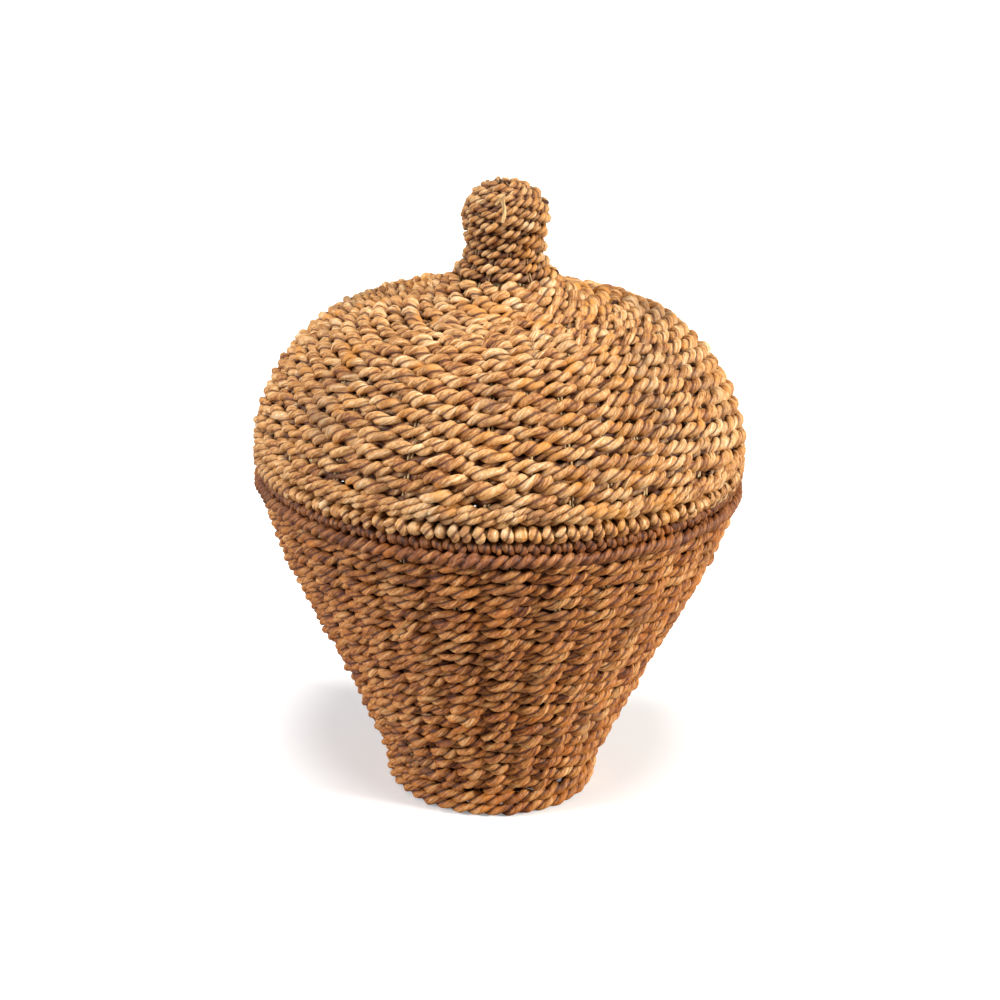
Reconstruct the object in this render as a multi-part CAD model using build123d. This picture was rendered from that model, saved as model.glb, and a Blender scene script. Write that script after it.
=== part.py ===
from build123d import *

# Round lidded basket woven from twisted two-ply cord over paired sticks.
#
# The basket stands on two stacked rope rings. Its wall flares to a bound rim, and the domed lid with
# its woven knob lifts straight off. Two rope rings inside the lid drop into the mouth and centre it.
# Units are millimetres, +Z is up, and the origin is the middle of the foot on the floor.
#
# Each woven wall is a set of closed bands of the wall's full thickness, measured inwards from an
# outline curve. The sticks run through channels in the middle of that thickness.

import os

# ---- woven wall -------------------------------------------------------------------------------------
wall = 16.0  # from the front of a cord before a stick to the back of a cord behind it
stick_width = 4.6  # a stake is two thin sticks side by side
stick_depth = 2.2
stick_clearance = 0.3  # room round a stake in its channel
stake_end_gap = 0.4  # a stake stops this far short of each end of its run
band_steps = 7  # points on each curve that follows part of an outline
stake_runs = 8  # straight runs that a stake bends over

# ---- foot and base ----------------------------------------------------------------------------------
rope = 10.0  # height and width of the thick ropes
rope_corner = 3.8  # rounding of the ropes, which press flat on each other
foot_radius = 81.0  # outside of the upper rope
foot_tuck = 0.8  # the lower rope is set in by this much
base_stake_count = 15
base_stake_inset = 2.0  # the base's stakes stop this far inside its edge
base_hub_radius = 13.0

# ---- basket wall and rim ----------------------------------------------------------------------------
body_stake_count = 29
mouth_radius = 176.5  # outside of the wall under the rim
mouth_height = 246.0
shoulder_drop = 40.2  # the wall is a straight flare up to a shoulder this far under the mouth
shoulder_inset = 11.9  # and this far inside its radius
body_wale_height = 9.0  # one heavy twined course under the rim
body_wale_proud = 1.6
rim_height = 9.3
rim_set_back = 2.6  # the rim's outside is this far inside the mouth's
rim_corner = 3.4
rim_core_width = 7.0
rim_core_height = 3.6
core_corner = 1.4
core_clearance = 0.2
seat_gap = 0.3  # air between the lid and the basket when the lid is on

# ---- lid --------------------------------------------------------------------------------------------
lid_stake_count = 39
crown_stake_count = 27
lid_overhang = 0.2  # the lid's wall stands this far outside the basket's
dome_rise = 108.1  # from the top of the lid's rim to the edge of the crown
crown_radius = 79.2
crown_rise = 20.3  # from the edge of the crown to the root of the knob
lid_rim_height = 10.0
lid_rim_proud = 0.6
lid_wale_height = 15.4  # a band of heavy slanting strokes above the rim
lid_wale_proud = 1.0
collar_clearance = 3.0  # between the lower ring inside the lid and the basket's rim

# ---- knob -------------------------------------------------------------------------------------------
knob_root_radius = 36.5
knob_neck_radius = 29.5
knob_radius = 31.5
knob_height = 64.0
knob_cap_height = 16.0
knob_stake_count = 13
tie_width = 2.4
tie_thickness = 1.0
tie_length = 15.0
tie_top_drop = 10.0  # from the top of the knob to the upper end of the tie
tie_gap = 0.15  # air under the tie
knob_core_gap = 0.8  # between the knob's core and its woven wall
knob_core_chamfer = 1.5
knob_core_steps = 24  # places up the knob where its hollow is measured

# ---- derived levels and radii -----------------------------------------------------------------------
foot_height = 2 * rope
base_radius = foot_radius - rope
shoulder_radius = mouth_radius - shoulder_inset
shoulder_height = mouth_height - shoulder_drop
body_wale_bottom = mouth_height - body_wale_height
rim_top = mouth_height + rim_height
rim_inner_radius = mouth_radius - wall
lid_bottom = rim_top + seat_gap
lid_rim_top = lid_bottom + lid_rim_height
lid_wale_top = lid_rim_top + lid_wale_height
dome_radius = mouth_radius + lid_overhang
crown_height = lid_rim_top + dome_rise
knob_root = crown_height + crown_rise
knob_top = knob_root + knob_height
knob_cap_bottom = knob_top - knob_cap_height
room_radius = 2 * mouth_radius  # larger than anything in the model


def between(start, end, share):
    """The value at a share of the way from start to end."""
    return start + share * (end - start)


def body_outline():
    """Outside of the basket wall, run on past the foot and the mouth so that both can be cut level."""
    flare = (shoulder_radius - foot_radius) / (shoulder_height - foot_height)
    lead = wall * flare
    lean = shoulder_inset / shoulder_drop
    points = [
        (foot_radius - lead * flare, foot_height - lead),
        (between(foot_radius, shoulder_radius, 0.5), between(foot_height, shoulder_height, 0.5)),
        (shoulder_radius, shoulder_height),
        (mouth_radius, mouth_height),
        (mouth_radius + 0.7 * lean * rim_height, rim_top),
    ]
    return Spline(*[(radius, 0, height) for radius, height in points])


def lid_outline():
    """Outside of the lid: up from the rim, over the dome and crown, and over the knob to the middle."""
    points = [
        (dome_radius, lid_rim_top),
        (dome_radius - 0.5, lid_rim_top + 0.13 * dome_rise),
        (between(dome_radius, crown_radius, 0.146), lid_rim_top + 0.479 * dome_rise),
        (between(dome_radius, crown_radius, 0.509), lid_rim_top + 0.845 * dome_rise),
        (crown_radius, crown_height),
        (between(crown_radius, knob_root_radius, 0.74), crown_height + 0.5 * crown_rise),
        (knob_root_radius, knob_root),
        (knob_neck_radius, knob_root + 0.20 * knob_height),
        (knob_radius, knob_root + 0.59 * knob_height),
        (0.84 * knob_radius, knob_root + 0.80 * knob_height),
        (0.44 * knob_radius, knob_root + 0.95 * knob_height),
        (0, knob_top),
    ]
    ends = [(0, 0, 1), (-1, 0, 0)]
    return Spline(*[(radius, 0, height) for radius, height in points], tangents=ends)


body_line = body_outline()
lid_line = lid_outline()


def inward(outline, share, depth):
    """The point at a share of an outline's length, moved inwards at right angles to it."""
    here, along = outline.position_at(share), outline.tangent_at(share)
    return Vector(here.X - depth * along.Z, 0, here.Z + depth * along.X)


def follow(outline, shares, depth):
    """Points at shares of an outline's length, at one depth inside it."""
    return [inward(outline, share, depth) for share in shares]


def layer(outline, start, end, outer_depth, inner_depth):
    """The section between two depths and two shares of an outline."""
    shares = [between(start, end, step / (band_steps - 1)) for step in range(band_steps)]
    outer = Spline(*follow(outline, shares, outer_depth))
    inner = Spline(*follow(outline, shares, inner_depth))
    low, high = Line(inner @ 0, outer @ 0), Line(outer @ 1, inner @ 1)
    return make_face(Wire([low, outer, high, inner]))


def share_at(outline, height):
    """The share of an outline's length at which it reaches a height, by halving."""
    low, high = 0.0, 1.0
    for _ in range(30):
        middle = (low + high) / 2
        if outline.position_at(middle).Z < height:
            low = middle
        else:
            high = middle
    return middle


def turned(section):
    """A section in the XZ plane turned right round the upright axis."""
    return revolve(section, axis=Axis.Z, revolution_arc=360)


def disc(radius, low, high):
    """A plain disc between two heights."""
    return Pos(0, 0, low) * Cylinder(radius, high - low, align=(Align.CENTER, Align.CENTER, Align.MIN))


def rounded_ring(outer_radius, width, bottom, height, corner):
    """A ring whose section is a rounded rectangle."""
    place = Pos(outer_radius - width / 2, 0, bottom + height / 2) * Rot(90, 0, 0)
    return turned(place * RectangleRounded(width, height, corner))


def level(solid, low, high):
    """A solid cut level at two heights."""
    return solid & disc(room_radius, low, high)


def stake(outline, start, end, room=0.0):
    """A flat stake in the middle of a wall's thickness; room makes it the channel that it lies in."""
    overrun = (wall / 10 if room else -stake_end_gap) / outline.length
    bends = [between(start, end, step / stake_runs) for step in range(1, stake_runs)]
    shares = [max(start - overrun, 0), *bends, min(end + overrun, 1)]
    half_depth = stick_depth / 2 + room
    outer = follow(outline, shares, wall / 2 - half_depth)
    inner = follow(outline, shares, wall / 2 + half_depth)
    section = make_face(Polyline(*outer, *reversed(inner), close=True))
    return extrude(section, amount=stick_width / 2 + room, dir=(0, 1, 0), both=True)


def all_round(solid, count):
    """Copies of a solid evenly spaced round the upright axis."""
    return [solid.rotate(Axis.Z, 360 * number / count) for number in range(count)]


def channelled(band, outline, run, count):
    """A band of a woven wall with channels cut through it for the stakes of a run of its outline."""
    return band.cut(*all_round(stake(outline, *run, stick_clearance), count))


# ---- basket -----------------------------------------------------------------------------------------
body_run = (0, 1)
body_shares = [
    0.0,
    share_at(body_line, between(foot_height, body_wale_bottom, 0.36)),
    share_at(body_line, between(foot_height, body_wale_bottom, 0.70)),
    share_at(body_line, body_wale_bottom),
    1.0,
]


def body_band(number, proud=0.0):
    """A band of the basket's wall, cut level at the foot and the mouth."""
    start, end = body_shares[number], body_shares[number + 1]
    band = turned(layer(body_line, start, end, -proud, wall))
    if number in (0, len(body_shares) - 2):
        band = level(band, foot_height, mouth_height)
    return channelled(band, body_line, body_run, body_stake_count)


def body_stakes():
    """The basket's upright stakes, from the foot to the mouth."""
    upright = level(stake(body_line, *body_run), foot_height, mouth_height)
    return Compound(all_round(upright, body_stake_count))


def base_sticks(room=0.0):
    """The base's radial stakes, from its hub almost to its edge."""
    length = base_radius - base_stake_inset - base_hub_radius
    stick = Pos(base_hub_radius - room, 0, foot_height - rope / 2) * Box(
        length + 2 * room,
        stick_width + 2 * room,
        stick_depth + 2 * room,
        align=(Align.MIN, Align.CENTER, Align.CENTER),
    )
    return all_round(stick, base_stake_count)


def base_weave():
    """The woven base: a flat disc with a hole for the hub and channels for the radial stakes."""
    plate = disc(base_radius, foot_height - rope, foot_height)
    return (plate - disc(base_hub_radius, foot_height - rope, foot_height)).cut(*base_sticks(stick_clearance))


def base_hub():
    """The knotted middle of the base."""
    hub = disc(base_hub_radius - core_clearance, foot_height - rope, foot_height)
    return fillet(hub.edges(), rope / 4)


def foot_rope_lower():
    """The rope ring that the basket stands on."""
    return rounded_ring(foot_radius - foot_tuck, rope, 0, rope, rope_corner)


def foot_rope_upper():
    """The rope ring between the lower one and the wall."""
    return rounded_ring(foot_radius, rope, rope, rope, rope_corner)


def bound_rim(outer_radius, bottom, height):
    """A bound rim with its core: the wrapping reaches in as far as the wall does."""
    width = outer_radius - rim_inner_radius
    middle = outer_radius - (width - rim_core_width) / 2
    core_bottom = bottom + (height - rim_core_height) / 2
    core = rounded_ring(middle, rim_core_width, core_bottom, rim_core_height, core_corner)
    hollow = rounded_ring(
        middle + core_clearance,
        rim_core_width + 2 * core_clearance,
        core_bottom - core_clearance,
        rim_core_height + 2 * core_clearance,
        core_corner + core_clearance,
    )
    return rounded_ring(outer_radius, width, bottom, height, rim_corner) - hollow, core


# ---- lid --------------------------------------------------------------------------------------------
dome_middle_share = share_at(lid_line, between(lid_wale_top, crown_height, 0.55))
lid_wale_share = share_at(lid_line, lid_wale_top)
crown_share = share_at(lid_line, crown_height)
knob_root_share = share_at(lid_line, knob_root)
knob_cap_share = share_at(lid_line, knob_cap_bottom)


lid_run = (0, crown_share)
crown_run = (crown_share, knob_root_share)
knob_run = (knob_root_share, knob_cap_share)


def lid_band(start, end, run, count, proud=0.0):
    """A band of the lid's wall, with the stakes of one run through it."""
    return channelled(turned(layer(lid_line, start, end, -proud, wall)), lid_line, run, count)


def lid_sticks(run, count):
    """The stakes of one run of the lid."""
    return Compound(all_round(stake(lid_line, *run), count))


def collar_rope_upper():
    """The rope ring fixed round the inside of the lid's rim."""
    return rounded_ring(rim_inner_radius, rope, lid_bottom, rope, rope_corner)


def collar_rope_lower():
    """The rope ring below it, which drops into the basket's mouth."""
    return rounded_ring(rim_inner_radius - collar_clearance, rope, lid_bottom - rope, rope, rope_corner)


def knob_core():
    """The bound bundle of stick ends that fills the knob, clear of its woven wall all the way up."""
    shares = [between(*knob_run, step / knob_core_steps) for step in range(knob_core_steps + 1)]
    inside = [point.X for point in follow(lid_line, shares, wall)]
    top = inward(lid_line, knob_cap_share, wall).Z - core_clearance
    core = disc(min(inside) - knob_core_gap, knob_root - wall, top)
    return chamfer(core.edges(), knob_core_chamfer)


def knob_cap():
    """The woven closing of the knob's top, flat underneath and for the last of the way to the middle."""
    shares = [between(knob_cap_share, 1, step / band_steps) for step in range(band_steps)]
    outer = Spline(*follow(lid_line, shares, 0))
    corner = inward(lid_line, knob_cap_share, wall)
    above, below = Vector(0, 0, (outer @ 1).Z), Vector(0, 0, corner.Z)
    rest = Polyline(outer @ 1, above, below, corner, outer @ 0)
    return turned(make_face(Wire([outer, *rest.edges()])))


def knob_tie():
    """The pale strand stitched up the front of the knob's top."""
    top = knob_top - tie_top_drop
    start, end = share_at(lid_line, top - tie_length), share_at(lid_line, top)
    section = layer(lid_line, start, end, -tie_gap - tie_thickness, -tie_gap)
    strand = extrude(section, amount=tie_width / 2, dir=(0, 1, 0), both=True)
    return strand.rotate(Axis.Z, -90)


def make_nodes():
    """Every node of the basket by name."""
    body_rim_wrap, body_rim_core = bound_rim(mouth_radius - rim_set_back, mouth_height, rim_height)
    lid_rim_wrap, lid_rim_core = bound_rim(dome_radius + lid_rim_proud, lid_bottom, lid_rim_height)
    return {
        "base_weave": base_weave(),
        "base_stakes": Compound(base_sticks()),
        "base_hub": base_hub(),
        "foot_rope_lower": foot_rope_lower(),
        "foot_rope_upper": foot_rope_upper(),
        "body_stakes": body_stakes(),
        "body_weave_lower": body_band(0),
        "body_weave_middle": body_band(1),
        "body_weave_upper": body_band(2),
        "body_wale": body_band(3, body_wale_proud),
        "body_rim_core": body_rim_core,
        "body_rim_wrap": body_rim_wrap,
        "lid_rim_core": lid_rim_core,
        "lid_rim_wrap": lid_rim_wrap,
        "lid_wale": lid_band(0, lid_wale_share, lid_run, lid_stake_count, lid_wale_proud),
        "lid_weave_lower": lid_band(lid_wale_share, dome_middle_share, lid_run, lid_stake_count),
        "lid_weave_upper": lid_band(dome_middle_share, crown_share, lid_run, lid_stake_count),
        "lid_stakes": lid_sticks(lid_run, lid_stake_count),
        "crown_weave": lid_band(*crown_run, crown_run, crown_stake_count),
        "crown_stakes": lid_sticks(crown_run, crown_stake_count),
        "collar_rope_upper": collar_rope_upper(),
        "collar_rope_lower": collar_rope_lower(),
        "knob_core": knob_core(),
        "knob_stakes": lid_sticks(knob_run, knob_stake_count),
        "knob_weave": lid_band(*knob_run, knob_run, knob_stake_count),
        "knob_cap": knob_cap(),
        "knob_tie": knob_tie(),
    }


os.makedirs("parts", exist_ok=True)
for node, shape in make_nodes().items():
    export_step(shape, f"parts/{node}.step")
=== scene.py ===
"""The looks of a round lidded basket, woven from two-ply cord over paired sticks.

Every length is in metres, in the frame's own axes: +Z is up and the basket stands on z = 0.
"""

import logging
import math
from dataclasses import dataclass, field
from enum import Enum

import bmesh
import bpy
import numpy as np
from mathutils import Matrix, Vector


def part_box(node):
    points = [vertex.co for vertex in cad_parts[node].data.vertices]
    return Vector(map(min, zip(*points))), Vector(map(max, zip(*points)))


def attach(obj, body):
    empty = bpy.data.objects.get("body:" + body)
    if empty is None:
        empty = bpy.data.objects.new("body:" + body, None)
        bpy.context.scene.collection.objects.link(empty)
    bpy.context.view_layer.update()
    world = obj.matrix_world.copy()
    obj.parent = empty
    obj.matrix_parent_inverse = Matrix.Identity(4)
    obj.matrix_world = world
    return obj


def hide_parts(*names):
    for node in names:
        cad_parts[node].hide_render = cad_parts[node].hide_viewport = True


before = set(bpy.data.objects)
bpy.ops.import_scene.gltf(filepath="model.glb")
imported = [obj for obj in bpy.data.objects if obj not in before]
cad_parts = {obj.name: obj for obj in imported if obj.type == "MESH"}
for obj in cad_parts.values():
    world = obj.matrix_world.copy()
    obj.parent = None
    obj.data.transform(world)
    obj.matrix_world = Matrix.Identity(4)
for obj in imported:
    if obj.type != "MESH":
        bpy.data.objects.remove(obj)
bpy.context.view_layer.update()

TURN = 2.0 * math.pi
# the finishes paint shade on the fibres from this attribute
BURIED = "buried"  # the attribute that says how deep in its wall each vertex lies
BURIED_WITHIN = 0.0052  # from the middle of a wall to where nothing counts as buried
CORD_LINE = 0.465  # from the outside to the middle of the cord's swing, as a share of the wall
CORD_SWING = 0.84  # share of the room in the wall that the cord swings through
PRESSED = 0.82  # width of a cord that is pressed on a stake, as a share of its own
PLUMP, BULGE, SHIFT = 0.09, 0.0005, 0.0005  # spread of each float's thickness and of its place
ROPE_LOBE = 0.0125  # from crest to crest on the ropes at the foot and inside the lid
LOG = logging.getLogger("basket")


class Body(Enum):
    """The two rigid bodies that pieces ride on."""

    BASKET = "basket"
    LID = "lid"


class Slot(Enum):
    """The record's material slots."""

    CORD = "woven_cord"
    STICK = "stick"
    BINDING = "binding"
    ROPE = "rope"


# ---- small measures taken from the frame ------------------------------------------------------------


def half_width(node: str) -> float:
    """Half of a node's width along X, which is its outer radius."""
    low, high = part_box(node)
    return 0.5 * (high[0] - low[0])


def low_z(node: str) -> float:
    """The height of a node's lowest point."""
    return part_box(node)[0][2]


def high_z(node: str) -> float:
    """The height of a node's highest point."""
    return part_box(node)[1][2]


# ---- smooth lines and uneven values -----------------------------------------------------------------


def through(points: np.ndarray, start: tuple | None = None, end: tuple | None = None) -> np.ndarray:
    """A dense smooth line through a few points.

    Args:
        points: The points, one row each.
        start: Direction at the first point, or None for a free end.
        end: Direction at the last point, or None for a free end.

    Returns:
        Many points along the line.
    """
    points = np.asarray(points, float)
    count = len(points)
    gaps = np.linalg.norm(np.diff(points, axis=0), axis=1)
    system, known = np.zeros((count, count)), np.zeros_like(points)
    for i in range(1, count - 1):
        before, after = gaps[i - 1], gaps[i]
        system[i, i - 1 : i + 2] = after, 2 * (before + after), before
        rise = after / before * (points[i] - points[i - 1]) + before / after * (points[i + 1] - points[i])
        known[i] = 3 * rise
    system[0, :2], known[0] = (2, 1), 3 * (points[1] - points[0]) / gaps[0]
    system[-1, -2:], known[-1] = (1, 2), 3 * (points[-1] - points[-2]) / gaps[-1]
    if start is not None:
        system[0, :2], known[0] = (1, 0), start
    if end is not None:
        system[-1, -2:], known[-1] = (0, 1), end
    slopes = np.linalg.solve(system, known)
    line = []
    for i in range(count - 1):
        t = np.linspace(0, 1, 80, endpoint=i == count - 2)[:, None]
        line.append(
            (2 * t**3 - 3 * t**2 + 1) * points[i]
            + (t**3 - 2 * t**2 + t) * gaps[i] * slopes[i]
            + (3 * t**2 - 2 * t**3) * points[i + 1]
            + (t**3 - t**2) * gaps[i] * slopes[i + 1]
        )
    return np.vstack(line)


class Outline:
    """The outside of a woven wall as (radius, height) along its length."""

    def __init__(self, points: list, start: tuple | None = None, end: tuple | None = None) -> None:
        """Makes the outline through its points, with optional end directions."""
        self.line = through(np.array(points), start, end)
        steps = np.linalg.norm(np.diff(self.line, axis=0), axis=1)
        self.along = np.concatenate([[0.0], np.cumsum(steps)])
        self.length = float(self.along[-1])
        self.slope = np.gradient(self.line, self.along, axis=0)

    def place(self, along: np.ndarray, out: np.ndarray, angle: np.ndarray) -> np.ndarray:
        """Points on the wall.

        Args:
            along: Distances along the outline.
            out: Distances outwards at right angles to it.
            angle: Angles round the upright axis.

        Returns:
            One row of x, y and z for each value.
        """
        radius, height = self.at(along)
        lean_r, lean_z = (np.interp(along, self.along, self.slope[:, axis]) for axis in (0, 1))
        size = np.hypot(lean_r, lean_z)
        radius = radius + out * lean_z / size
        height = height - out * lean_r / size
        return np.stack([radius * np.cos(angle), radius * np.sin(angle), height], axis=1)

    def at(self, along: np.ndarray) -> tuple[np.ndarray, np.ndarray]:
        """Radius and height at distances along the outline."""
        return tuple(np.interp(along, self.along, self.line[:, axis]) for axis in (0, 1))

    def reach(self, height: float) -> float:
        """The distance along the outline at which it reaches a height."""
        return float(np.interp(height, self.line[:, 1], self.along))


class Wander:
    """A smooth uneven value that drifts about zero, the same on every run."""

    def __init__(self, seed: int, wavelengths: tuple[float, ...], strength: float) -> None:
        """Chooses the waves that are added up."""
        chance = np.random.default_rng(seed)
        self.rates = TURN / np.array(wavelengths) * chance.uniform(0.85, 1.15, len(wavelengths))
        self.phases = chance.uniform(0, TURN, len(wavelengths))
        self.strength = strength / math.sqrt(len(wavelengths))

    def __call__(self, at: np.ndarray) -> np.ndarray:
        """The value at each distance."""
        waves = [np.sin(rate * at + phase) for rate, phase in zip(self.rates, self.phases)]
        return self.strength * np.sum(waves, axis=0)


# ---- cords and ropes --------------------------------------------------------------------------------


@dataclass
class Path:
    """The line of one cord: its points, its thickness factor and its twist at each.

    A cord in a wall also has, for each point, the place in the middle of the wall and the way out.
    """

    points: np.ndarray
    size: np.ndarray
    twist: np.ndarray
    closed: bool = False
    middle: np.ndarray | None = None
    outward: np.ndarray | None = None


@dataclass(frozen=True)
class Twine:
    """A twisted cord of two or more plies.

    Attributes:
        width: Across the plies.
        lobe: Distance along the cord from one ply's crest to the next.
        plies: How many strands are twisted together.
        bite: How far each ply sinks into the next, from 0 to 1.
        sides: Faces round each ply.
        step: Distance between rings of vertices.
        hand: +1 or -1 for the two ways of twisting.
    """

    width: float = 0.0104
    lobe: float = 0.0122
    plies: int = 2
    bite: float = 0.31
    sides: int = 5
    step: float = 0.0018
    hand: int = -1

    def section(self) -> list[tuple[float, float]]:
        """Points round the cord's outline, for a cord of full width."""
        ply = self.width / 2 / (2 - self.bite) if self.plies == 2 else self.width / 4.1
        arm = self.width / 2 - ply
        count = self.plies * self.sides
        section = []
        for i in range(count):
            angle = TURN * i / count
            off = (angle + math.pi / self.plies) % (TURN / self.plies) - math.pi / self.plies
            under = max(ply**2 - (arm * math.sin(off)) ** 2, (0.25 * ply) ** 2)
            reach = arm * math.cos(off) + math.sqrt(under)
            section.append((reach * math.cos(angle), reach * math.sin(angle)))
        return section

    def turning(self, distance: np.ndarray) -> np.ndarray:
        """The twist at each distance along an open cord."""
        return self.hand * distance * TURN / (self.plies * self.lobe)

    def closing(self, distance: np.ndarray) -> np.ndarray:
        """The twist along a closed ring, rounded so that the ends meet."""
        whole = max(round(distance[-1] / (self.plies * self.lobe)), 1)
        return self.hand * distance / distance[-1] * TURN * whole


def oval(width: float, height: float, count: int) -> list[tuple[float, float]]:
    """Points round an oval section."""
    turns = [TURN * i / count for i in range(count)]
    return [(0.5 * width * math.cos(turn), 0.5 * height * math.sin(turn)) for turn in turns]


def flat_section(name: str, points: list[tuple[float, float]]) -> bpy.types.Object:
    """A closed flat curve to sweep along a path."""
    data = bpy.data.curves.new(name, "CURVE")
    data.dimensions = "2D"
    data.fill_mode = "NONE"
    spline = data.splines.new("POLY")
    spline.points.add(len(points) - 1)
    spline.points.foreach_set("co", [value for x, y in points for value in (x, y, 0.0, 1.0)])
    spline.use_cyclic_u = True
    return bpy.data.objects.new(name, data)


def swept_mesh(name: str, paths: list[Path], section: list[tuple[float, float]]) -> bpy.types.Mesh:
    """Sweeps a section along paths and gives the mesh.

    Args:
        name: The mesh's name.
        paths: The lines to follow.
        section: Points round the section.

    Returns:
        The mesh, whose UV map runs in metres along each path and from 0 to 1 round it.
    """
    data = bpy.data.curves.new(name + "_line", "CURVE")
    data.dimensions = "3D"
    data.twist_mode = "Z_UP"
    data.bevel_mode = "OBJECT"
    data.bevel_object = flat_section(name + "_section", section)
    data.use_fill_caps = True
    for path in paths:
        spline = data.splines.new("POLY")
        spline.points.add(len(path.points) - 1)
        spline.points.foreach_set("co", np.hstack([path.points, np.ones((len(path.points), 1))]).ravel())
        spline.points.foreach_set("radius", path.size)
        spline.points.foreach_set("tilt", path.twist)
        spline.use_cyclic_u = path.closed
        spline.use_smooth = True
    holder = bpy.data.objects.new(name + "_line", data)
    bpy.context.scene.collection.objects.link(holder)
    bpy.context.view_layer.update()
    mesh = bpy.data.meshes.new_from_object(holder.evaluated_get(bpy.context.evaluated_depsgraph_get()))
    mesh.name = name
    length = np.mean([np.linalg.norm(np.diff(path.points, axis=0), axis=1).sum() for path in paths])
    if mesh.uv_layers:
        layer = mesh.uv_layers[0].data
        values = np.zeros(2 * len(layer))
        layer.foreach_get("uv", values)
        values[0::2] *= length
        layer.foreach_set("uv", values)
    if paths[0].middle is not None:
        bury(mesh, paths, len(section))
    bevel = data.bevel_object
    bpy.data.objects.remove(holder)
    bpy.data.curves.remove(data)
    bpy.data.curves.remove(bevel.data)
    return mesh


def bury(mesh: bpy.types.Mesh, paths: list[Path], around: int) -> None:
    """Writes how deep in its wall each vertex lies, from 0 at either face to 1 in the middle.

    Args:
        mesh: A swept mesh, whose last vertices are the paths' rings in order.
        paths: The lines that it follows.
        around: Vertices in a ring.
    """
    places = np.zeros(3 * len(mesh.vertices))
    mesh.vertices.foreach_get("co", places)
    rings = around * sum(len(path.points) for path in paths)
    middle = np.repeat(np.vstack([path.middle for path in paths]), around, axis=0)
    outward = np.repeat(np.vstack([path.outward for path in paths]), around, axis=0)
    depth = np.abs(np.sum((places.reshape(-1, 3)[-rings:] - middle) * outward, axis=1))
    buried = np.ones(len(mesh.vertices))
    buried[-rings:] = np.clip(1 - depth / BURIED_WITHIN, 0, 1)
    mesh.attributes.new(BURIED, "FLOAT", "POINT").data.foreach_set("value", buried)


def distances(points: np.ndarray, closed: bool = False) -> np.ndarray:
    """Distance along a line at each of its points, and once round if it is closed."""
    steps = np.linalg.norm(np.diff(points, axis=0), axis=1)
    if closed:
        steps = np.append(steps, np.linalg.norm(points[0] - points[-1]))
    return np.concatenate([[0.0], np.cumsum(steps)])


def add_piece(
    mesh: bpy.types.Mesh, body: Body, finish: bpy.types.Material, nodes: tuple[str, ...] = ()
) -> bpy.types.Object:
    """Puts a mesh in the scene as a piece of the basket.

    Args:
        mesh: The piece's mesh, in place.
        body: The body that it rides on.
        finish: Its material.
        nodes: The CAD nodes that it stands for.

    Returns:
        The new object.
    """
    mesh.materials.clear()
    mesh.materials.append(finish)
    piece = bpy.data.objects.new(mesh.name, mesh)
    bpy.context.scene.collection.objects.link(piece)
    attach(piece, body.value)
    if nodes:
        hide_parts(*nodes)
    LOG.info("%s: %d faces on %s", piece.name, len(mesh.polygons), body.value)
    return piece


# ---- the weave --------------------------------------------------------------------------------------


@dataclass
class InWall:
    """Something that lies in a woven wall.

    Attributes:
        outline: Outside of the wall.
        wall: Thickness of the wall.
    """

    outline: Outline
    wall: float

    def heart(self, along: np.ndarray, angle: np.ndarray) -> tuple[np.ndarray, np.ndarray]:
        """Places in the middle of the wall, and the way out of it at each."""
        middle = self.outline.place(along, np.full_like(along, -0.5 * self.wall), angle)
        face = self.outline.place(along, np.full_like(along, 1 - 0.5 * self.wall), angle)
        return middle, face - middle


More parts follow.
